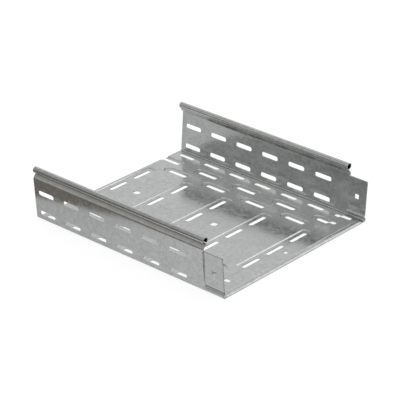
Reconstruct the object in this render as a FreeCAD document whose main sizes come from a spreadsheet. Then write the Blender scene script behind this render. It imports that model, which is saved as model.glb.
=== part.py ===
import FreeCAD, Part
import Sketcher
import math
import os

# A perforated cable tray: one strip of galvanised sheet steel, punched, pressed and rolled to a channel.
# X runs along the tray from its plain end to its coupling end, Y across it, Z up.
# The origin is at the middle of the tray, on the level that its pressed pockets rest on.

V = FreeCAD.Vector
NODE = "cable_tray"

doc = FreeCAD.newDocument("perforated_cable_tray")
dimensions = doc.addObject("Spreadsheet::Sheet", "dimensions")

# Driving dimensions, in millimetres and degrees
SIZES = [
    ("sheet_thickness", 1.0, "thickness of the sheet"),
    ("inside_width", 300.0, "between the walls, at the floor"),
    ("body_length", 320.5, "from the plain end to the end of the full-height walls"),
    ("coupling_length", 32.0, "length of the stepped-in end that enters the next tray"),
    ("wall_lean", 4.0, "outward lean of the walls from upright"),
    ("floor_bend", 2.5, "bend radius between floor and wall, to the middle of the sheet"),
    ("shoulder_level", 62.7, "height of the shoulder bend above the floor"),
    ("shoulder_angle", 40.0, "turn of the shoulder towards the inside of the tray"),
    ("shoulder_bend", 2.0, "bend radius of the shoulder, to the middle of the sheet"),
    ("bead_diameter", 9.2, "outer diameter of the rolled edge"),
    ("bead_setback", 3.9, "how far the middle of the rolled edge stands inside the shoulder bend"),
    ("neck_bend", 0.9, "bend radius of the neck below the rolled edge, to the middle of the sheet"),
    ("bead_turn", 325.0, "turn of the rolled edge about its own middle"),
    ("coupling_level", 60.0, "height of the coupling end's walls above the body's floor"),
    ("joggle_step", 1.75, "how far the coupling end is stepped in and up"),
    ("joggle_run", 2.4, "length over which it steps"),
    ("foot_width", 8.0, "width of the strip beside the wall where the coupling end's floor isn't stepped up"),
    ("foot_slope", 2.0, "width over which the floor drops from its step to that strip"),
    ("foot_level", 3.0, "height above the body's floor up to which the coupling end's wall isn't stepped in"),
    ("foot_bend", 1.5, "bend radius of the strip's small bends, to the middle of the sheet"),
    ("groove_depth", 3.3, "how far the groove above that strip stands inside the body's wall"),
    ("groove_level", 5.3, "height of the groove above the body's floor"),
    ("groove_top", 9.0, "height at which the wall is back from the groove at its own step"),
    ("lip_length", 8.4, "length of the lip at the end of the coupling end's floor"),
    ("lip_step", 0.8, "how far the floor steps down to the lip"),
    ("lip_run", 1.2, "length over which it steps down"),
    ("lip_droop", 1.0, "how far the lip curves down further towards its end"),
    ("pocket_depth", 1.4, "depth of the pressed pockets"),
    ("pocket_flank", 1.2, "width of a pocket's sloping side, seen from above"),
    ("rib_width", 19.0, "width of the cross ribs' pockets"),
    ("rib_corner", 5.0, "corner radius of the cross ribs' pockets"),
    ("rib_gap", 5.0, "flat floor left between a cross rib and the inner row's pockets"),
    ("pocket_border", 8.0, "how far a pocket reaches past the end of its slot"),
    ("pocket_width", 17.0, "width of the pockets round the single slots"),
    ("pocket_margin", 0.4, "flat floor left between a pocket and the step of the coupling end"),
    ("slot_width", 7.0, "width of every slot"),
    ("rib_slot_length", 34.0, "length of the slots across the tray"),
    ("row_slot_length", 34.0, "length of the slots along the tray in the two inner rows"),
    ("edge_slot_length", 29.0, "length of the slots along the tray in the outer row"),
    ("wall_slot_length", 30.0, "length of the slots in the walls"),
    ("rib_pitch", 75.0, "from one cross rib to the next"),
    ("rib_start", 13.0, "from the plain end to the first cross rib"),
    ("slot_pitch", 50.0, "from one slot to the next across a rib and along a wall"),
    ("edge_start", 23.0, "from the plain end to the first slot of the outer row and the walls"),
    ("edge_inset", 12.5, "from the wall to the middle of the outer row"),
    ("row_pitch", 25.0, "from one row of slots along the tray to the next"),
    ("wall_slot_level", 10.5, "height of the lower wall slots above the floor"),
    ("wall_row_pitch", 32.0, "from the lower wall slots to the upper ones"),
    ("floor_hole", 10.5, "diameter of the round holes on the middle line"),
    ("wall_square", 7.0, "side of the square holes in the coupling end's walls"),
    ("wall_square_level", 32.5, "height of those holes above the floor"),
    ("wall_square_reach", 15.5, "from the end of the full-height walls to those holes"),
    ("floor_square", 6.5, "side of the square hole in the coupling end's floor"),
    ("floor_square_reach", 11.5, "from the end of the full-height walls to that hole"),
    ("end_margin", 6.0, "least metal between a slot and the coupling end"),
]

RIB_SLOTS = 3  # slots across the tray in each cross rib
CORNER_EDGE = 5  # place of the bend between floor and wall among the edges of the coupling end's section
LEAST_BOW = 0.001  # an edge that bows less than this is drawn straight

for row, (alias, value, note) in enumerate(SIZES, 1):
    dimensions.set("A%d" % row, note)
    dimensions.set("B%d" % row, str(value))
    dimensions.setAlias("B%d" % row, alias)
doc.recompute()


def size(alias):
    """A driving dimension's value."""
    return float(dimensions.get(alias))


# Sizes that follow from the driving ones
THICKNESS = size("sheet_thickness")
LEAN = math.radians(size("wall_lean"))
LENGTH = size("body_length") + size("coupling_length")
PLAIN_END = -LENGTH / 2
WALL_END = PLAIN_END + size("body_length")
TIP = LENGTH / 2
STEP_START = WALL_END - size("joggle_run")
FLOOR_TOP = size("pocket_depth") + THICKNESS
FLOOR_MIDDLE = FLOOR_TOP - THICKNESS / 2
COUPLING_TOP = FLOOR_TOP + size("coupling_level")
EDGE_ROW = size("inside_width") / 2 - size("edge_inset")
OUTER_ROW = EDGE_ROW - size("row_pitch")
INNER_ROW = OUTER_ROW - size("row_pitch")


def wall_middle(z, inset=0.0):
    """Y of the middle of the wall's sheet at a height, for a wall that stands inset from the body's wall."""
    return (size("inside_width") / 2 + (THICKNESS / 2 - inset) / math.cos(LEAN)
            + (z - FLOOR_TOP) * math.tan(LEAN))


def offset_points(points, distance):
    """Corner points of a bent line moved to its left by a distance."""
    normals = []
    for start, end in zip(points, points[1:]):
        run = (end - start).normalize()
        normals.append(V(0, -run.z, run.y))
    moved = [points[0] + normals[0] * distance]
    for corner, before, after in zip(points[1:-1], normals, normals[1:]):
        bisector = (before + after) / (1 + before.dot(after))
        moved.append(corner + bisector * distance)
    moved.append(points[-1] + normals[-1] * distance)
    return moved


def bent_line(points, bends, distance=0.0):
    """Edges along corner points with a tangent arc at each inner corner, moved to the left by a distance."""
    moved = offset_points(points, distance)
    edges = []
    start = moved[0]
    for index, bend in enumerate(bends, 1):
        corner = moved[index]
        run_in = (corner - moved[index - 1]).normalize()
        run_out = (moved[index + 1] - corner).normalize()
        turns_left = run_in.cross(run_out).x > 0
        radius = bend - distance if turns_left else bend + distance
        setback = radius * math.tan(run_in.getAngle(run_out) / 2)
        arc_start = corner - run_in * setback
        arc_end = corner + run_out * setback
        inward = (run_out - run_in).normalize()
        to_middle = math.hypot(radius, setback) - radius
        if (arc_start - start).Length > 1e-6:
            edges.append(Part.makeLine(start, arc_start))
        edges.append(Part.Arc(arc_start, corner + inward * to_middle, arc_end).toShape())
        start = arc_end
    if (moved[-1] - start).Length > 1e-6:
        edges.append(Part.makeLine(start, moved[-1]))
    return edges


def first_point(edges):
    """Where a chain of edges starts."""
    return edges[0].valueAt(edges[0].FirstParameter)


def end_point(edges):
    """Where a chain of edges ends."""
    return edges[-1].valueAt(edges[-1].LastParameter)


def body_path(top):
    """Corner points of half the body up to a height: middle of the floor, corner, wall."""
    return [V(0, 0, FLOOR_MIDDLE), V(0, wall_middle(FLOOR_MIDDLE), FLOOR_MIDDLE), V(0, wall_middle(top), top)]


def coupling_path(drop=0.0):
    """Corner points of half the coupling end: stepped floor, foot beside the wall, groove, stepped wall."""
    step = size("joggle_step")
    corner = wall_middle(FLOOR_MIDDLE)
    foot = corner - size("foot_width")
    foot_top = FLOOR_TOP + size("foot_level")
    groove = FLOOR_TOP + size("groove_level")
    groove_top = FLOOR_TOP + size("groove_top")
    return [V(0, 0, FLOOR_MIDDLE + step - drop), V(0, foot, FLOOR_MIDDLE + step - drop),
            V(0, foot + size("foot_slope"), FLOOR_MIDDLE), V(0, corner, FLOOR_MIDDLE),
            V(0, wall_middle(foot_top), foot_top), V(0, wall_middle(groove, size("groove_depth")), groove),
            V(0, wall_middle(groove_top, step), groove_top),
            V(0, wall_middle(COUPLING_TOP, step), COUPLING_TOP)]


def coupling_line(distance, drop=0.0):
    """Edges of half the coupling end's section, moved to the inside by a distance."""
    small = size("foot_bend")
    return bent_line(coupling_path(drop), [small, small, size("floor_bend"), small, small, small], distance)


def matching_body_line(distance):
    """Edges of half the body's section, split so that each one lies opposite one of the coupling end's."""
    floor, corner, wall = bent_line(body_path(COUPLING_TOP), [size("floor_bend")], distance)
    ends = [edge.valueAt(edge.LastParameter) for edge in coupling_line(distance)]
    middle, side = first_point([floor]), end_point([floor])
    low, high = first_point([wall]), end_point([wall])
    across = [middle] + [V(0, end.y, side.z) for end in ends[:CORNER_EDGE - 1]] + [side]
    rise = (high - low) / (high.z - low.z)
    upward = [low] + [low + rise * (end.z - low.z) for end in ends[CORNER_EDGE + 1:]]
    floor_lines = [Part.makeLine(start, end) for start, end in zip(across, across[1:])]
    wall_lines = [Part.makeLine(start, end) for start, end in zip(upward, upward[1:])]
    return floor_lines + [corner] + wall_lines


def strip_wire(inner, outer, x):
    """Loop round the sheet between its inner and outer surfaces' edges, at a place along the tray."""
    closing = [Part.makeLine(end_point(inner), end_point(outer)),
               Part.makeLine(first_point(inner), first_point(outer))]
    wire = Part.Wire(Part.__sortEdges__(inner + outer + closing))
    wire.translate(V(x, 0, 0))
    return wire


def coupling_wire(x, drop=0.0):
    """Loop round the sheet of half the coupling end."""
    return strip_wire(coupling_line(THICKNESS / 2, drop), coupling_line(-THICKNESS / 2, drop), x)


def block_wire(edges, x):
    """Loop round everything inside half a channel's inner or outer surface, up to its top."""
    above = V(0, 0, end_point(edges).z)
    closing = [Part.makeLine(end_point(edges), above), Part.makeLine(above, first_point(edges))]
    wire = Part.Wire(Part.__sortEdges__(edges + closing))
    wire.translate(V(x, 0, 0))
    return wire


def both_halves(half):
    """One half and its mirror image about the tray's middle plane, joined."""
    return half.fuse(half.mirror(V(0, 0, 0), V(0, 1, 0)))


def body_section(x):
    """Half the body's section, from the middle of the floor to the end of the rolled edge."""
    shoulder_z = FLOOR_TOP + size("shoulder_level")
    heading = math.pi / 2 - LEAN + math.radians(size("shoulder_angle"))
    neck = size("neck_bend")
    bead = (size("bead_diameter") - THICKNESS) / 2
    shoulder = V(0, wall_middle(shoulder_z), shoulder_z)
    bead_y = shoulder.y - size("bead_setback")
    slant = (shoulder.y - bead_y + neck * math.sin(heading)) / -math.cos(heading)
    run = V(0, math.cos(heading), math.sin(heading))
    neck_corner = shoulder + run * (slant + neck * math.tan(heading / 2))
    bead_start = V(0, bead_y, neck_corner.z)
    bead_middle = bead_start + V(0, 0, bead)
    past_neck = bead_start + V(0, 1, 0)
    points = body_path(shoulder_z)[:2] + [shoulder, neck_corner, past_neck]
    bends = [size("floor_bend"), size("shoulder_bend"), neck]
    sides = []
    for distance in (THICKNESS / 2, -THICKNESS / 2):
        edges = bent_line(points, bends, distance)[:-1]
        radius = bead - distance
        turn = math.radians(size("bead_turn"))
        arc = [bead_middle + V(0, math.sin(angle) * radius, -math.cos(angle) * radius)
               for angle in (0, turn / 2, turn)]
        edges.append(Part.Arc(*arc).toShape())
        sides.append(edges)
    return Part.Face(strip_wire(sides[0], sides[1], x))


def point_along(edge, part):
    """The point a part of the way along an edge."""
    return edge.valueAt(edge.FirstParameter + part * (edge.LastParameter - edge.FirstParameter))


def blended(before, after, share):
    """Edges a share of the way from one chain of edges to another that has as many edges."""
    edges = []
    for first, second in zip(before, after):
        points = []
        for part in (0.0, 0.5, 1.0):
            start, end = point_along(first, part), point_along(second, part)
            points.append(start + (end - start) * share)
        bow = (points[1] - (points[0] + points[2]) / 2).Length
        edge = Part.makeLine(points[0], points[2]) if bow < LEAST_BOW else Part.Arc(*points).toShape()
        edges.append(edge)
    return edges


def smooth_step(step, run):
    """Stations of a step made of two equal bends: share of the step, place along its run, slope."""
    turn = 2 * math.atan2(step, run)
    bend = run / (2 * math.sin(turn))
    rising = [(bend * (1 - math.cos(angle)) / step, bend * math.sin(angle), angle)
              for angle in (0.0, turn / 2, turn)]
    return rising + [(1 - share, run - place, angle) for share, place, angle in reversed(rising[:-1])]


def stepped_half(before, after, x, stations, inward):
    """Half a short run whose section changes along it; inward is 1 for a step in and -1 for a step out."""
    blocks = []
    for distance in (-THICKNESS / 2, THICKNESS / 2):
        start, end = before(distance), after(distance)
        wires = [block_wire(blended(start, end, share), x + place - inward * distance * math.tan(slope / 2))
                 for share, place, slope in stations]
        blocks.append(Part.makeLoft(wires, True, True))
    return blocks[0].cut(blocks[1])


def stepped_ring():
    """Half the short run where floor and walls step in from the body to the coupling end."""
    stations = smooth_step(size("joggle_step"), size("joggle_run"))
    return stepped_half(matching_body_line, coupling_line, STEP_START, stations, 1)


def coupling_end():
    """Half the coupling end: a straight run, a step down in its floor and a lip that curves down."""
    step = size("lip_step")
    lip_start = TIP - size("lip_length")
    curve_start = lip_start + size("lip_run")
    straight = Part.Face(coupling_wire(WALL_END)).extrude(V(lip_start - WALL_END, 0, 0))
    stepped = stepped_half(coupling_line, lambda distance: coupling_line(distance, step), lip_start,
                           smooth_step(step, size("lip_run")), -1)
    sections = [coupling_wire(curve_start + (TIP - curve_start) * part, step + size("lip_droop") * part ** 2)
                for part in (0.0, 0.5, 1.0)]
    return straight.multiFuse([stepped, Part.makeLoft(sections, True, True)])


def rounded_outline(x_range, y_range, z, corner):
    """Rounded rectangle at a height."""
    x0, x1 = x_range
    y0, y1 = y_range
    corner = min(corner, (x1 - x0) / 2, (y1 - y0) / 2)
    middles = [(x1 - corner, y1 - corner, 0), (x0 + corner, y1 - corner, 90),
               (x0 + corner, y0 + corner, 180), (x1 - corner, y0 + corner, 270)]
    arcs = []
    for x, y, turn in middles:
        angles = [math.radians(turn + part) for part in (0, 45, 90)]
        arcs.append([V(x + corner * math.cos(angle), y + corner * math.sin(angle), z) for angle in angles])
    edges = []
    for arc, following in zip(arcs, arcs[1:] + arcs[:1]):
        edges.append(Part.Arc(*arc).toShape())
        if (following[0] - arc[2]).Length > 1e-6:
            edges.append(Part.makeLine(arc[2], following[0]))
    return Part.Wire(Part.__sortEdges__(edges))


def tapered_block(x_range, y_range, corner, top, growth):
    """Solid of a pocket's outline that narrows downwards by the pocket's flanks."""
    outlines = []
    for grow, z in ((growth - size("pocket_flank"), top - size("pocket_depth")), (growth, top)):
        outlines.append(rounded_outline((x_range[0] - grow, x_range[1] + grow),
                                        (y_range[0] - grow, y_range[1] + grow), z, corner + grow))
    return Part.makeLoft(outlines, True, True)


def places(start, pitch, reach, limit):
    """Places along the tray from a first one, as long as what stands there ends before a limit."""
    count = int(math.floor((limit - reach - start) / pitch + 1e-9)) + 1
    return [start + index * pitch for index in range(max(count, 1))]


def rib_places():
    return places(PLAIN_END + size("rib_start"), size("rib_pitch"), size("slot_width") / 2, STEP_START)


def outer_row_places():
    return places(PLAIN_END + size("rib_start"), size("rib_pitch"), size("row_slot_length") / 2,
                  TIP - size("end_margin"))


def inner_row_places():
    return places(PLAIN_END + size("rib_start") + size("rib_pitch") / 2, size("rib_pitch"),
                  size("row_slot_length") / 2, STEP_START)


def edge_row_places():
    return places(PLAIN_END + size("edge_start"), size("slot_pitch"), size("edge_slot_length") / 2,
                  TIP - size("end_margin"))


def wall_places():
    return places(PLAIN_END + size("edge_start"), size("slot_pitch"), size("wall_slot_length") / 2,
                  STEP_START)


def pocket_outlines():
    """Plan ranges and corner radius of every pressed pocket."""
    limit = STEP_START - size("pocket_margin")
    rib_reach = INNER_ROW - size("pocket_width") / 2 - size("rib_gap")
    outlines = []
    for x in rib_places():
        x_range = (x - size("rib_width") / 2, min(x + size("rib_width") / 2, limit))
        outlines.append((x_range, (-rib_reach, rib_reach), size("rib_corner")))
    reach = size("row_slot_length") / 2 + size("pocket_border")
    for row, row_places in ((OUTER_ROW, outer_row_places()), (INNER_ROW, inner_row_places())):
        for x in row_places:
            for side in (row, -row):
                y_range = (side - size("pocket_width") / 2, side + size("pocket_width") / 2)
                outlines.append(((x - reach, min(x + reach, limit)), y_range, size("pocket_width") / 2))
    return outlines


def press_pockets(plate):
    """Press every pocket down into the floor, with the sheet's thickness kept below it."""
    slope = math.atan2(size("pocket_depth"), size("pocket_flank"))
    growth = THICKNESS * math.tan(slope / 2)
    below = []
    hollows = []
    for x_range, y_range, corner in pocket_outlines():
        below.append(tapered_block(x_range, y_range, corner, FLOOR_TOP - THICKNESS, growth))
        hollows.append(tapered_block(x_range, y_range, corner, FLOOR_TOP, 0.0))
    return plate.multiFuse(below).cut(Part.makeCompound(hollows))


def formed_sheet():
    """The sheet after rolling and pressing, before its slots and holes are shown."""
    body = both_halves(body_section(PLAIN_END).extrude(V(WALL_END - PLAIN_END, 0, 0))).removeSplitter()
    coupling = both_halves(coupling_end()).removeSplitter()
    width = 2 * wall_middle(COUPLING_TOP) + 2 * size("bead_diameter")
    below_step = Part.makeBox(WALL_END - STEP_START, width, COUPLING_TOP, V(STEP_START, -width / 2, 0))
    channel = body.cut(below_step).multiFuse([both_halves(stepped_ring()), coupling])
    past_end = Part.makeBox(LENGTH, width, COUPLING_TOP, V(PLAIN_END - LENGTH, -width / 2, 0))
    return press_pockets(channel).cut(past_end)


formed = doc.addObject("Part::Feature", "formed_sheet")
formed.Shape = formed_sheet()

tray = doc.addObject("PartDesign::Body", NODE)
tray.Label = NODE
tray.BaseFeature = formed
doc.recompute()

CENTRE = "(dimensions.body_length + dimensions.coupling_length) / 2"
FLOOR_LEVEL = "dimensions.pocket_depth + dimensions.sheet_thickness"
BETWEEN_RIBS = "dimensions.rib_start + dimensions.rib_pitch / 2"


def origin_feature(role):
    """One of the body's own origin planes or axes."""
    return next(item for item in tray.Origin.OriginFeatures if item.Role == role)


def opening_sketch(name, plane, across, along, turned=False):
    """A sketch on an origin plane, with its own origin at the middle of the first opening."""
    sketch = tray.newObject("Sketcher::SketchObject", name)
    sketch.AttachmentSupport = (origin_feature(plane), [""])
    sketch.MapMode = "FlatFace"
    turn = FreeCAD.Rotation(V(0, 0, 1), 90 if turned else 0)
    sketch.AttachmentOffset = FreeCAD.Placement(V(0, 0, 0), turn)
    sketch.setExpression("AttachmentOffset.Base.x", along)
    sketch.setExpression("AttachmentOffset.Base.y", across)
    return sketch


def draw_slot(sketch, length, width):
    """A slot with round ends, centred on the sketch's origin."""
    half_width = size(width) / 2
    half_run = size(length) / 2 - half_width
    upper = sketch.addGeometry(Part.LineSegment(V(-half_run, half_width, 0), V(half_run, half_width, 0)))
    lower = sketch.addGeometry(Part.LineSegment(V(half_run, -half_width, 0), V(-half_run, -half_width, 0)))
    right = sketch.addGeometry(Part.ArcOfCircle(Part.Circle(V(half_run, 0, 0), V(0, 0, 1), half_width),
                                                -math.pi / 2, math.pi / 2))
    left = sketch.addGeometry(Part.ArcOfCircle(Part.Circle(V(-half_run, 0, 0), V(0, 0, 1), half_width),
                                               math.pi / 2, 3 * math.pi / 2))
    for line, line_end, arc, arc_end in ((upper, 2, right, 2), (upper, 1, left, 1),
                                         (lower, 1, right, 1), (lower, 2, left, 2)):
        sketch.addConstraint(Sketcher.Constraint("Tangent", line, line_end, arc, arc_end))
    sketch.addConstraint(Sketcher.Constraint("Horizontal", upper))
    sketch.addConstraint(Sketcher.Constraint("Equal", left, right))
    sketch.addConstraint(Sketcher.Constraint("Symmetric", left, 3, right, 3, -1, 1))
    radius = sketch.addConstraint(Sketcher.Constraint("Radius", right, half_width))
    run = sketch.addConstraint(Sketcher.Constraint("DistanceX", left, 3, right, 3, 2 * half_run))
    sketch.setExpression("Constraints[%d]" % radius, "dimensions.%s / 2" % width)
    sketch.setExpression("Constraints[%d]" % run, "dimensions.%s - dimensions.%s" % (length, width))


def draw_circle(sketch, diameter):
    """A round hole centred on the sketch's origin."""
    circle = sketch.addGeometry(Part.Circle(V(0, 0, 0), V(0, 0, 1), size(diameter) / 2))
    sketch.addConstraint(Sketcher.Constraint("Coincident", circle, 3, -1, 1))
    across = sketch.addConstraint(Sketcher.Constraint("Diameter", circle, size(diameter)))
    sketch.setExpression("Constraints[%d]" % across, "dimensions.%s" % diameter)


def draw_square(sketch, side):
    """A square hole centred on the sketch's origin."""
    half = size(side) / 2
    corners = [V(-half, -half, 0), V(half, -half, 0), V(half, half, 0), V(-half, half, 0)]
    lines = [sketch.addGeometry(Part.LineSegment(start, end))
             for start, end in zip(corners, corners[1:] + corners[:1])]
    for line, following in zip(lines, lines[1:] + lines[:1]):
        sketch.addConstraint(Sketcher.Constraint("Coincident", line, 2, following, 1))
    for line, direction in zip(lines, ("Horizontal", "Vertical", "Horizontal", "Vertical")):
        sketch.addConstraint(Sketcher.Constraint(direction, line))
    sketch.addConstraint(Sketcher.Constraint("Symmetric", lines[0], 1, lines[2], 1, -1, 1))
    for line, kind, ends in ((lines[0], "DistanceX", (1, 2)), (lines[1], "DistanceY", (1, 2))):
        measure = sketch.addConstraint(Sketcher.Constraint(kind, line, ends[0], line, ends[1], size(side)))
        sketch.setExpression("Constraints[%d]" % measure, "dimensions.%s" % side)


def punch(sketch):
    """Cut a sketch's outline through the sheet on both sides of its plane."""
    before = tray.Shape.Volume
    pocket = tray.newObject("PartDesign::Pocket", sketch.Name.replace("sketch", "punch"))
    pocket.Profile = sketch
    pocket.SideType = "Symmetric"
    pocket.Type = "ThroughAll"
    tray.Tip = pocket
    doc.recompute()
    if tray.Shape.Volume >= before:
        raise RuntimeError("%s cuts nothing" % pocket.Name)
    return pocket


def repeat(pocket, rows, columns):
    """Repeat a cut in rows along one origin axis and in columns along another."""
    pattern = tray.newObject("PartDesign::LinearPattern", pocket.Name.replace("punch", "pattern"))
    pattern.Originals = [pocket]
    axis, count, pitch = rows
    pattern.Direction = (origin_feature(axis), [""])
    pattern.Mode = "Extent"
    pattern.Occurrences = count
    pattern.setExpression("Length", "%d * %s" % (max(count - 1, 1), pitch))
    axis, count, pitch = columns
    pattern.Direction2 = (origin_feature(axis), [""])
    pattern.Mode2 = "Extent"
    pattern.Occurrences2 = count
    pattern.setExpression("Length2", "%d * %s" % (max(count - 1, 1), pitch))
    tray.Tip = pattern
    doc.recompute()


def row_level(rows_inward):
    """Expression for how far a row of slots stands from the middle line."""
    return "(dimensions.inside_width / 2 - dimensions.edge_inset - %d * dimensions.row_pitch)" % rows_inward


# Three slots across the tray in each cross rib
sketch = opening_sketch("sketch_rib_slots", "XY_Plane", "-%d * dimensions.slot_pitch" % (RIB_SLOTS // 2),
                        "dimensions.rib_start - " + CENTRE, turned=True)
draw_slot(sketch, "rib_slot_length", "slot_width")
repeat(punch(sketch), ("X_Axis", len(rib_places()), "dimensions.rib_pitch"),
       ("Y_Axis", RIB_SLOTS, "dimensions.slot_pitch"))

# Rows of slots along the tray, on both sides of its middle line
ROWS = [
    ("edge", "dimensions.edge_start", "edge_slot_length", "slot_pitch", edge_row_places()),
    ("outer", "dimensions.rib_start", "row_slot_length", "rib_pitch", outer_row_places()),
    ("inner", BETWEEN_RIBS, "row_slot_length", "rib_pitch", inner_row_places()),
]
for rows_inward, (name, start, length, pitch, row_places) in enumerate(ROWS):
    level = row_level(rows_inward)
    sketch = opening_sketch("sketch_%s_slots" % name, "XY_Plane", "-" + level, "%s - %s" % (start, CENTRE))
    draw_slot(sketch, length, "slot_width")
    repeat(punch(sketch), ("X_Axis", len(row_places), "dimensions." + pitch), ("Y_Axis", 2, "2 * " + level))

# Two rows of slots in both walls
sketch = opening_sketch("sketch_wall_slots", "XZ_Plane", FLOOR_LEVEL + " + dimensions.wall_slot_level",
                        "dimensions.edge_start - " + CENTRE)
draw_slot(sketch, "wall_slot_length", "slot_width")
repeat(punch(sketch), ("X_Axis", len(wall_places()), "dimensions.slot_pitch"),
       ("Z_Axis", 2, "dimensions.wall_row_pitch"))

# Round holes on the middle line, between every other pair of ribs
sketch = opening_sketch("sketch_floor_holes", "XY_Plane", "0", "%s - %s" % (BETWEEN_RIBS, CENTRE))
draw_circle(sketch, "floor_hole")
repeat(punch(sketch), ("X_Axis", len(inner_row_places()) // 2, "2 * dimensions.rib_pitch"),
       ("Y_Axis", 1, "dimensions.slot_pitch"))

# Square holes of the coupling end, in both walls and in its floor
sketch = opening_sketch("sketch_wall_square", "XZ_Plane", FLOOR_LEVEL + " + dimensions.wall_square_level",
                        "dimensions.body_length + dimensions.wall_square_reach - " + CENTRE)
draw_square(sketch, "wall_square")
punch(sketch)
sketch = opening_sketch("sketch_floor_square", "XY_Plane", "0",
                        "dimensions.body_length + dimensions.floor_square_reach - " + CENTRE)
draw_square(sketch, "floor_square")
punch(sketch)

doc.recompute()
for item in doc.Objects:
    if "Invalid" in item.State or "Error" in item.State:
        raise RuntimeError("%s failed: %s" % (item.Name, item.State))
if tray.Shape.isNull() or not tray.Shape.isValid() or len(tray.Shape.Solids) != 1:
    raise RuntimeError("the tray is not one valid solid")

os.makedirs("parts", exist_ok=True)
tray.Shape.exportStep("parts/%s.step" % NODE)
box = tray.Shape.BoundBox
print("%s: %.1f x %.1f x %.1f mm, volume %.0f mm3, %d faces" % (
    NODE, box.XLength, box.YLength, box.ZLength, tray.Shape.Volume, len(tray.Shape.Faces)))
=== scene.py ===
import logging
import math
from dataclasses import dataclass, field
from enum import Enum
from typing import Any, Optional

import bpy
from mathutils import Matrix, Vector

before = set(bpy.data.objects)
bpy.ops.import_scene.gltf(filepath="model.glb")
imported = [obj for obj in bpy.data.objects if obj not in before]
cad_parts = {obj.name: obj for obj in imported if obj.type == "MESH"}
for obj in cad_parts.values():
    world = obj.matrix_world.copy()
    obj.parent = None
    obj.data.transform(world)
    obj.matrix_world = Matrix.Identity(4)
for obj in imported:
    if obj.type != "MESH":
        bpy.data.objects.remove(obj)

LOG = logging.getLogger("cable_tray")
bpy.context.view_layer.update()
MM = 0.001
Point = tuple[float, float, float]
ACROSS: Point = (0.0, 1.0, 1.0)  # times a place, this keeps where it lies in the tray's cross section


class Softness(Enum):
    """How soft a studio lamp is, as the side of its square light surface in metres."""

    BROAD = 2.4
    SMALL = 1.3
    NARROW = 0.7


def srgb(code: str) -> tuple[float, float, float, float]:
    """Linear colour of a hex code.

    Args:
        code: sRGB colour as six hex digits after a hash.

    Returns:
        Linear red, green and blue, and an alpha of one.
    """
    channels = [int(code[place:place + 2], 16) / 255 for place in (1, 3, 5)]
    linear = [c / 12.92 if c <= 0.04045 else ((c + 0.055) / 1.055) ** 2.4 for c in channels]
    return (linear[0], linear[1], linear[2], 1.0)


def add_node(tree: bpy.types.NodeTree, kind: str, settings: Optional[dict[str, Any]] = None,
             **inputs: Any) -> bpy.types.Node:
    """Add a node, set it and link it.

    Args:
        tree: Node tree that gets the node.
        kind: Node type's identifier.
        settings: Values of the node's own properties.
        **inputs: Socket name with underscores for spaces, or in_N for socket number N, and either a value
            or the output socket to link.

    Returns:
        The new node.
    """
    node = tree.nodes.new(kind)
    for name, value in (settings or {}).items():
        setattr(node, name, value)
    for name, value in inputs.items():
        key: Any = int(name[3:]) if name.startswith("in_") else name.replace("_", " ")
        socket = node.inputs[key]
        if isinstance(value, bpy.types.NodeSocket):
            tree.links.new(value, socket)
        else:
            socket.default_value = value
    return node


def new_material(name: str) -> tuple[bpy.types.Material, bpy.types.NodeTree]:
    """Empty node material.

    Args:
        name: The material's name.

    Returns:
        The material and its cleared node tree.
    """
    material = bpy.data.materials.new(name)
    material.use_nodes = True
    material.node_tree.nodes.clear()
    return material, material.node_tree


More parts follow.
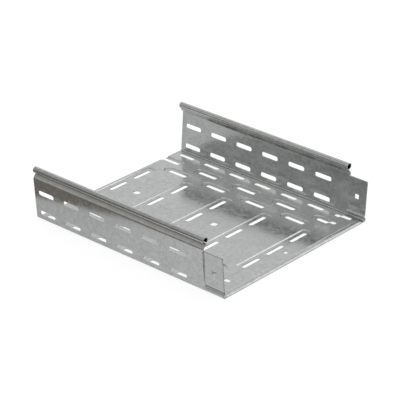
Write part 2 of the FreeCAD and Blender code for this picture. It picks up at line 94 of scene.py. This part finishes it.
@dataclass(frozen=True)
class GalvanisedSteel:
    """Hot-dip galvanised strip: zinc frozen into faint crystals on cold-rolled steel.

    The zinc is a grey metal. Its crystals, called spangle, shine a little differently, so the sheet looks
    finely mottled. Wide, soft clouds come from the coating's uneven thickness, and the rolls leave it a
    little wavy, so that what it mirrors is smeared. The cut ends show duller steel. Roll-formed bends are
    softer than punched edges, and the floor's last millimetres at the coupling end roll over to the edge.
    """

    # Zinc: its two greys, the sizes of its mottling, and a satin that mirrors soft shapes
    light: str = "#CBCDCC"
    dark: str = "#ABADAC"
    spangle_mm: float = 4.0
    cloud_mm: float = 45.0
    cloud_detail: float = 5.0
    cloud_roughness: float = 0.65
    cloud_share: float = 0.5
    mottled_low: float = 0.25
    mottled_high: float = 0.75
    roughness_low: float = 0.13
    roughness_high: float = 0.22

    # Steel of the cut ends, which look matt and darker
    cut: str = "#868483"
    cut_roughness: float = 0.5
    cut_facing: float = 0.97

    # Waves from rolling, which bend every mirrored line a little
    wave_mm: float = 60.0
    wave_height_mm: float = 0.25
    wave_detail: float = 1.0

    # Edges: punched ones stay crisp, roll-formed bends near the top catch a broad soft light
    edge_mm: float = 0.15
    bend_mm: float = 2.2
    bends_above_mm: float = 60.0
    bends_blend_mm: float = 1.0
    edge_samples: int = 8

    # Floor's edge at the coupling end, which rolls over and so mirrors the darker room
    rolled_from_mm: float = 168.0
    rolled_to_mm: float = 176.25
    rolled_below_mm: float = 6.0
    rolled_facing: float = 0.5
    rolled_tilt: float = 0.6

    # Slopes that pressing stretched, where the zinc is a little rougher
    slope_facing: float = 0.3
    level_facing: float = 0.99
    stretched_roughness: float = 0.30

    # Outer slopes of shoulder, neck and bead: painted shade, strongest on the neck
    stretch_and_painted_shade: str = "#77756F"
    shade_lean: float = 0.65
    shoulder_shade_share: float = 0.35
    shoulder_mm: float = 66.5
    neck_mm: float = 72.5
    bead_mm: tuple[float, float] = (75.0, 78.5)
    bead_shade_share: float = 0.4

    # Insides of the beads: painted shade
    bore_shade: str = "#4A4A49"
    bore_radius_mm: float = 3.9
    bore_at_mm: tuple[float, float] = (150.98, 77.0)

    def material(self) -> bpy.types.Material:
        """Build the material.

        Returns:
            The galvanised finish.
        """
        material, tree = new_material("galvanised steel, fine spangle")
        place = add_node(tree, "ShaderNodeTexCoord").outputs["Object"]
        crystals = add_node(tree, "ShaderNodeTexVoronoi", {"feature": "F1"}, Vector=place,
                            Scale=1 / (self.spangle_mm * MM), Randomness=1.0)
        clouds = add_node(tree, "ShaderNodeTexNoise", Vector=place, Scale=1 / (self.cloud_mm * MM),
                          Detail=self.cloud_detail, Roughness=self.cloud_roughness)
        grain = add_node(tree, "ShaderNodeSeparateColor", Color=crystals.outputs["Color"])
        blend = add_node(tree, "ShaderNodeMix", {"data_type": "FLOAT"}, Factor=self.cloud_share,
                         in_2=grain.outputs["Red"], in_3=clouds.outputs["Fac"])
        zinc = add_node(tree, "ShaderNodeMix", {"data_type": "RGBA"}, Factor=blend.outputs["Result"],
                        A=srgb(self.dark), B=srgb(self.light))
        satin = add_node(tree, "ShaderNodeMapRange", Value=blend.outputs["Result"],
                         From_Min=self.mottled_low, From_Max=self.mottled_high,
                         To_Min=self.roughness_low, To_Max=self.roughness_high)
        cut = self.cut_ends(tree)
        outside = add_node(tree, "ShaderNodeMix", {"data_type": "RGBA"}, Factor=cut,
                           A=zinc.outputs["Result"], B=srgb(self.cut))
        # Painted shade: the outer slopes of shoulder, neck and bead are darkened towards a brown grey
        with_bend_shade = add_node(tree, "ShaderNodeMix", {"data_type": "RGBA"}, Factor=self.painted_bend_shade(tree, place),
                          A=outside.outputs["Result"], B=srgb(self.stretch_and_painted_shade))
        # Painted shade inside the rolled beads
        colour = add_node(tree, "ShaderNodeMix", {"data_type": "RGBA"}, Factor=self.painted_bore_shade(tree, place),
                          A=with_bend_shade.outputs["Result"], B=srgb(self.bore_shade))
        stretch_and_painted_shade = add_node(tree, "ShaderNodeMix", {"data_type": "FLOAT"}, Factor=self.stretched(tree),
                         in_2=satin.outputs["Result"], in_3=self.stretched_roughness)
        rough = add_node(tree, "ShaderNodeMix", {"data_type": "FLOAT"}, Factor=cut,
                         in_2=stretch_and_painted_shade.outputs["Result"], in_3=self.cut_roughness)
        shader = add_node(tree, "ShaderNodeBsdfPrincipled", Base_Color=colour.outputs["Result"], Metallic=1.0,
                          Roughness=rough.outputs["Result"], Normal=self.unevenness(tree, place))
        add_node(tree, "ShaderNodeOutputMaterial", Surface=shader.outputs["BSDF"])
        return material

    def cut_ends(self, tree: bpy.types.NodeTree) -> bpy.types.NodeSocket:
        """Mask of the sheet's cut ends, which face along the tray.

        Args:
            tree: The material's node tree.

        Returns:
            Socket that is one on the cut ends and zero elsewhere.
        """
        facing = add_node(tree, "ShaderNodeTexCoord").outputs["Normal"]
        along = add_node(tree, "ShaderNodeSeparateXYZ", Vector=facing).outputs["X"]
        either = add_node(tree, "ShaderNodeMath", {"operation": "ABSOLUTE"}, in_0=along).outputs["Value"]
        return add_node(tree, "ShaderNodeMath", {"operation": "GREATER_THAN"}, in_0=either,
                        in_1=self.cut_facing).outputs["Value"]

    def stretched(self, tree: bpy.types.NodeTree) -> bpy.types.NodeSocket:
        """Mask of the slopes that pressing and rolling stretched: pocket flanks, shoulders and bead tops.

        Args:
            tree: The material's node tree.

        Returns:
            Socket that is one on upward slopes and zero on level faces, walls and undersides.
        """
        facing = add_node(tree, "ShaderNodeTexCoord").outputs["Normal"]
        upward = add_node(tree, "ShaderNodeSeparateXYZ", Vector=facing).outputs["Z"]
        above = add_node(tree, "ShaderNodeMath", {"operation": "GREATER_THAN"}, in_0=upward,
                         in_1=self.slope_facing)
        below = add_node(tree, "ShaderNodeMath", {"operation": "LESS_THAN"}, in_0=upward,
                         in_1=self.level_facing)
        return add_node(tree, "ShaderNodeMath", {"operation": "MULTIPLY"}, in_0=above.outputs["Value"],
                        in_1=below.outputs["Value"]).outputs["Value"]

    def painted_bend_shade(self, tree: bpy.types.NodeTree, place: bpy.types.NodeSocket) -> bpy.types.NodeSocket:
        """How much painted shade darkens the outer slopes of the rolled shoulders and beads.

        Args:
            tree: The material's node tree.
            place: Object coordinates.

        Returns:
            Socket that is strongest on the neck, weaker on the shoulder and the bead, and zero elsewhere.
        """
        facing = add_node(tree, "ShaderNodeTexCoord").outputs["Normal"]
        lean = add_node(tree, "ShaderNodeSeparateXYZ", Vector=facing).outputs["Y"]
        axes = add_node(tree, "ShaderNodeSeparateXYZ", Vector=place)
        side = add_node(tree, "ShaderNodeMath", {"operation": "SIGN"}, in_0=axes.outputs["Y"])
        outward = add_node(tree, "ShaderNodeMath", {"operation": "MULTIPLY"}, in_0=lean,
                           in_1=side.outputs["Value"])
        leaning = add_node(tree, "ShaderNodeMath", {"operation": "GREATER_THAN"},
                           in_0=outward.outputs["Value"], in_1=self.shade_lean)
        high = add_node(tree, "ShaderNodeMath", {"operation": "GREATER_THAN"}, in_0=axes.outputs["Z"],
                        in_1=self.bends_above_mm * MM)
        share = add_node(tree, "ShaderNodeMapRange", Value=axes.outputs["Z"],
                         From_Min=self.shoulder_mm * MM, From_Max=self.neck_mm * MM,
                         To_Min=self.shoulder_shade_share, To_Max=1.0)
        fading = add_node(tree, "ShaderNodeMapRange", Value=axes.outputs["Z"],
                          From_Min=self.bead_mm[0] * MM, From_Max=self.bead_mm[1] * MM,
                          To_Min=1.0, To_Max=self.bead_shade_share)
        strongest = add_node(tree, "ShaderNodeMath", {"operation": "MULTIPLY"}, in_0=share.outputs["Result"],
                             in_1=fading.outputs["Result"])
        bend = add_node(tree, "ShaderNodeMath", {"operation": "MULTIPLY"}, in_0=leaning.outputs["Value"],
                        in_1=high.outputs["Value"])
        slope = add_node(tree, "ShaderNodeMath", {"operation": "MULTIPLY"}, in_0=bend.outputs["Value"],
                         in_1=self.stretched(tree))
        return add_node(tree, "ShaderNodeMath", {"operation": "MULTIPLY"}, in_0=slope.outputs["Value"],
                        in_1=strongest.outputs["Value"]).outputs["Value"]

    def painted_bore_shade(self, tree: bpy.types.NodeTree, place: bpy.types.NodeSocket) -> bpy.types.NodeSocket:
        """Mask of the insides of the two rolled beads, where shade is painted dark.

        Args:
            tree: The material's node tree.
            place: Object coordinates.

        Returns:
            Socket that is one inside the beads and zero elsewhere.
        """
        folded = add_node(tree, "ShaderNodeVectorMath", {"operation": "ABSOLUTE"}, in_0=place)
        section = add_node(tree, "ShaderNodeVectorMath", {"operation": "MULTIPLY"},
                           in_0=folded.outputs["Vector"], in_1=ACROSS)
        centre = (0.0, self.bore_at_mm[0] * MM, self.bore_at_mm[1] * MM)
        reach = add_node(tree, "ShaderNodeVectorMath", {"operation": "DISTANCE"},
                         in_0=section.outputs["Vector"], in_1=centre)
        return add_node(tree, "ShaderNodeMath", {"operation": "LESS_THAN"}, in_0=reach.outputs["Value"],
                        in_1=self.bore_radius_mm * MM).outputs["Value"]

    def unevenness(self, tree: bpy.types.NodeTree, place: bpy.types.NodeSocket) -> bpy.types.NodeSocket:
        """Normal of the rolled sheet: sharp edges a little rounded, faces a little wavy.

        Args:
            tree: The material's node tree.
            place: Object coordinates.

        Returns:
            The normal's socket.
        """
        axes = add_node(tree, "ShaderNodeSeparateXYZ", Vector=place)
        radius = add_node(tree, "ShaderNodeMapRange", Value=axes.outputs["Z"],
                          From_Min=(self.bends_above_mm - self.bends_blend_mm) * MM,
                          From_Max=self.bends_above_mm * MM,
                          To_Min=self.edge_mm * MM, To_Max=self.bend_mm * MM)
        rounded = add_node(tree, "ShaderNodeBevel", {"samples": self.edge_samples},
                           Radius=radius.outputs["Result"])
        waves = add_node(tree, "ShaderNodeTexNoise", Vector=place, Scale=1 / (self.wave_mm * MM),
                         Detail=self.wave_detail)
        wavy = add_node(tree, "ShaderNodeBump", Strength=1.0, Distance=self.wave_height_mm * MM,
                        Height=waves.outputs["Fac"], Normal=rounded.outputs["Normal"])
        leaning = add_node(tree, "ShaderNodeVectorMath", {"operation": "ADD"}, in_0=wavy.outputs["Normal"],
                           in_1=self.rolled_edge(tree, axes))
        return add_node(tree, "ShaderNodeVectorMath", {"operation": "NORMALIZE"},
                        in_0=leaning.outputs["Vector"]).outputs["Vector"]

    def rolled_edge(self, tree: bpy.types.NodeTree, axes: bpy.types.Node) -> bpy.types.NodeSocket:
        """How far the floor's upper face leans towards the coupling end's edge.

        Args:
            tree: The material's node tree.
            axes: Node whose outputs are the object coordinates X, Y and Z.

        Returns:
            Vector socket to add to the normal, zero everywhere but on the floor's last millimetres.
        """
        facing = add_node(tree, "ShaderNodeTexCoord").outputs["Normal"]
        upward = add_node(tree, "ShaderNodeSeparateXYZ", Vector=facing).outputs["Z"]
        on_top = add_node(tree, "ShaderNodeMath", {"operation": "GREATER_THAN"}, in_0=upward,
                          in_1=self.rolled_facing)
        low = add_node(tree, "ShaderNodeMath", {"operation": "LESS_THAN"}, in_0=axes.outputs["Z"],
                       in_1=self.rolled_below_mm * MM)
        floor = add_node(tree, "ShaderNodeMath", {"operation": "MULTIPLY"}, in_0=on_top.outputs["Value"],
                         in_1=low.outputs["Value"])
        over = add_node(tree, "ShaderNodeMapRange", Value=axes.outputs["X"],
                        From_Min=self.rolled_from_mm * MM, From_Max=self.rolled_to_mm * MM,
                        To_Max=self.rolled_tilt)
        lean = add_node(tree, "ShaderNodeCombineXYZ", X=over.outputs["Result"])
        return add_node(tree, "ShaderNodeVectorMath", {"operation": "SCALE"}, in_0=lean.outputs["Vector"],
                        Scale=floor.outputs["Value"]).outputs["Vector"]


@dataclass(frozen=True)
class StudioPaper:
    """White background paper, matt, lit through from below so that only a faint shadow stays on it.

    The camera sees it almost pure white. The metal mirrors it as a grey that brightens along the tray, as
    if its light fell off towards the plain end.
    """

    colour: str = "#F2F2F2"
    shadow_keeping: str = "#7C7C7C"
    glow: float = 0.86
    mirrored_left: float = 0.50
    mirrored_right: float = 0.70
    mirrored_span_mm: float = 250.0

    def material(self) -> bpy.types.Material:
        """Build the material.

        Returns:
            The paper's finish.
        """
        material, tree = new_material("white studio paper, matt, lit through")
        path = add_node(tree, "ShaderNodeLightPath")
        place = add_node(tree, "ShaderNodeTexCoord").outputs["Object"]
        across = add_node(tree, "ShaderNodeSeparateXYZ", Vector=place).outputs["X"]
        lit = add_node(tree, "ShaderNodeMapRange", Value=across, From_Min=-self.mirrored_span_mm * MM,
                       From_Max=self.mirrored_span_mm * MM, To_Min=self.mirrored_left,
                       To_Max=self.mirrored_right)
        mirrored = add_node(tree, "ShaderNodeMath", {"operation": "MULTIPLY"},
                            in_0=path.outputs["Is Glossy Ray"], in_1=lit.outputs["Result"])
        strength = add_node(tree, "ShaderNodeMath", {"operation": "MULTIPLY_ADD"},
                            in_0=path.outputs["Is Camera Ray"], in_1=self.glow,
                            in_2=mirrored.outputs["Value"])
        seen = add_node(tree, "ShaderNodeMath", {"operation": "MAXIMUM"}, in_0=path.outputs["Is Camera Ray"],
                        in_1=path.outputs["Is Glossy Ray"])
        tone = add_node(tree, "ShaderNodeMix", {"data_type": "RGBA"}, Factor=seen.outputs["Value"],
                        A=srgb(self.colour), B=srgb(self.shadow_keeping))
        matt = add_node(tree, "ShaderNodeBsdfDiffuse", Color=tone.outputs["Result"])
        light = add_node(tree, "ShaderNodeEmission", Strength=strength.outputs["Value"])
        both = add_node(tree, "ShaderNodeAddShader", in_0=matt.outputs["BSDF"],
                        in_1=light.outputs["Emission"])
        add_node(tree, "ShaderNodeOutputMaterial", Surface=both.outputs["Shader"])
        return material


@dataclass(frozen=True)
class RoomCard:
    """Flat, evenly toned part of the studio that only the metal's reflections see.

    Such parts stand past the white paper's edge. In the zinc they give the eye its darker and greyer bands.
    """

    name: str
    corners_mm: tuple[Point, ...]
    colour: str = "#867F7A"

    def build(self) -> bpy.types.Object:
        """Make the card.

        Returns:
            The card, which only the metal's reflections see.
        """
        material, tree = new_material("painted studio wall, matt")
        tone = add_node(tree, "ShaderNodeEmission", Color=srgb(self.colour))
        add_node(tree, "ShaderNodeOutputMaterial", Surface=tone.outputs["Emission"])
        mesh = bpy.data.meshes.new(self.name)
        corners = [tuple(value * MM for value in corner) for corner in self.corners_mm]
        mesh.from_pydata(corners, [], [tuple(range(len(corners)))])
        mesh.materials.append(material)
        card = bpy.data.objects.new(self.name, mesh)
        card.visible_camera = False
        card.visible_diffuse = False
        card.visible_shadow = False
        bpy.context.scene.collection.objects.link(card)
        return card


@dataclass
class PressedTray:
    """The tray: one strip of sheet steel, punched, pressed and rolled."""

    node: str = "cable_tray"
    finish: GalvanisedSteel = field(default_factory=GalvanisedSteel)

    def dress(self, nodes: dict[str, bpy.types.Object]) -> bpy.types.Object:
        """Give the frame's tray its zinc finish.

        Args:
            nodes: The frame's nodes by name.

        Returns:
            The dressed tray.
        """
        tray = nodes[self.node]
        tray.data.materials.clear()
        tray.data.materials.append(self.finish.material())
        return tray


@dataclass
class Camera:
    """A long lens at the photograph's height and side."""

    azimuth_deg: float = 42.201
    elevation_deg: float = 26.571
    roll_deg: float = -0.095
    distance: float = 2.7375
    focal_px: float = 1934.7
    image_px: float = 400.0
    sensor_mm: float = 36.0
    clip: tuple[float, float] = (0.05, 50.0)
    target: Point = (-0.00966, 0.00853, 0.02561)

    def build(self) -> bpy.types.Object:
        """Make the camera and set it as the scene's.

        Returns:
            The camera object.
        """
        data = bpy.data.cameras.new("camera")
        data.sensor_fit = "HORIZONTAL"
        data.sensor_width = self.sensor_mm
        data.lens = self.focal_px / self.image_px * self.sensor_mm
        data.clip_start = self.clip[0]
        data.clip_end = self.clip[1]
        camera = bpy.data.objects.new("camera", data)
        bpy.context.scene.collection.objects.link(camera)
        azimuth = math.radians(self.azimuth_deg)
        elevation = math.radians(self.elevation_deg)
        back = Vector((math.sin(azimuth) * math.cos(elevation), -math.cos(azimuth) * math.cos(elevation),
                       math.sin(elevation)))
        roll = Matrix.Rotation(math.radians(self.roll_deg), 3, "Z")
        turn = (-back).to_track_quat("-Z", "Y").to_matrix() @ roll
        stand = Vector(self.target) + back * self.distance
        camera.matrix_world = Matrix.Translation(stand) @ turn.to_4x4()
        bpy.context.scene.camera = camera
        return camera


@dataclass(frozen=True)
class Softbox:
    """Square softbox.

    Attributes:
        name: Its name.
        softness: The size of its light surface.
        power: Radiant power in watts.
        place: Where it hangs, in metres.
        aim: The point that it faces, in metres.
    """

    name: str
    softness: Softness
    power: float
    place: Point
    aim: Point = (0.0, 0.0, 0.0)

    def hang(self) -> bpy.types.Object:
        """Hang the softbox.

        Returns:
            The lamp.
        """
        data = bpy.data.lights.new(self.name, "AREA")
        data.shape = "SQUARE"
        data.size = self.softness.value
        data.energy = self.power
        lamp = bpy.data.objects.new(self.name, data)
        bpy.context.scene.collection.objects.link(lamp)
        lamp.location = self.place
        lamp.rotation_mode = "QUATERNION"
        lamp.rotation_quaternion = (Vector(self.aim) - Vector(self.place)).to_track_quat("-Z", "Y")
        return lamp


@dataclass
class Studio:
    """Plain white floor, soft light and the room beyond, as the metal mirrors it."""

    floor_size: float = 12.0
    floor_level: float = -0.0002
    paper: StudioPaper = field(default_factory=StudioPaper)
    world_strength: float = 0.80
    seen_strength: float = 1.0
    sky: str = "#FFFFFF"
    softboxes: tuple[Softbox, ...] = (
        Softbox("overhead softbox", Softness.BROAD, 3.0, (0.0, 0.0, 2.6)),
        Softbox("back left softbox", Softness.BROAD, 1.4, (-1.7, 1.9, 1.3)),
        Softbox("back right softbox", Softness.SMALL, 4.5, (1.2, 1.5, 1.2)),
        Softbox("front left softbox", Softness.NARROW, 0.45, (-1.8, -1.8, 1.65)),
    )
    cards: tuple[RoomCard, ...] = (
        RoomCard("room past the paper",
                 ((-231, -186, 1), (-1331, 511, 1), (-3800, -1800, 1), (-500, -4200, 1), (1500, -3900, 1),
                  (1300, -1133, 1), (-20, -231, 1))),
        RoomCard("far side of the room",
                 ((-3800, -1800, 1), (-500, -4200, 1), (-500, -4200, 800), (-3800, -1800, 800))),
        RoomCard("grey wall over it",
                 ((-3800, -1800, 800), (-500, -4200, 800), (-500, -4200, 1900), (-3800, -1800, 1900)),
                 "#CDCECD"),
        RoomCard("grey ceiling on the camera's side",
                 ((-3200, -2100, 2500), (-1000, -2100, 2500), (-1000, 200, 2500), (-3200, 200, 2500)),
                 "#A8A8A5"),
        RoomCard("room beside the coupling end",
                 ((160, -168, 1), (178, -160, 1), (330, -250, 1), (240, -340, 1), (130, -330, 1),
                  (130, -200, 1), (150, -186, 1))),
    )

    def floor(self) -> bpy.types.Object:
        """Lay the floor.

        Returns:
            The floor.
        """
        half = self.floor_size / 2
        corners = [(x, y, self.floor_level) for x, y in ((-half, -half), (half, -half), (half, half),
                                                         (-half, half))]
        mesh = bpy.data.meshes.new("floor")
        mesh.from_pydata(corners, [], [tuple(range(len(corners)))])
        mesh.materials.append(self.paper.material())
        floor = bpy.data.objects.new("floor", mesh)
        bpy.context.scene.collection.objects.link(floor)
        return floor

    def world(self) -> None:
        """Even light from all round; the camera sees plain white."""
        world = bpy.data.worlds.new("studio")
        bpy.context.scene.world = world
        world.use_nodes = True
        tree = world.node_tree
        tree.nodes.clear()
        seen = add_node(tree, "ShaderNodeLightPath").outputs["Is Camera Ray"]
        strength = add_node(tree, "ShaderNodeMapRange", Value=seen, To_Min=self.world_strength,
                            To_Max=self.seen_strength)
        sky = add_node(tree, "ShaderNodeBackground", Color=srgb(self.sky),
                       Strength=strength.outputs["Result"])
        add_node(tree, "ShaderNodeOutputWorld", Surface=sky.outputs["Background"])

    def build(self) -> None:
        """Build floor, world, softboxes and cards."""
        self.floor()
        self.world()
        for softbox in self.softboxes:
            softbox.hang()
        for card in self.cards:
            card.build()
        bpy.context.scene.view_settings.view_transform = "Standard"


def main() -> None:
    """Build the scene piece by piece."""
    logging.basicConfig(level=logging.INFO, format="%(name)s: %(message)s")
    tray = PressedTray().dress(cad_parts)
    LOG.info("dressed %s, %d faces", tray.name, len(tray.data.polygons))
    Camera().build()
    Studio().build()
    LOG.info("studio and camera are in place")


if __name__ == "__main__":
    main()
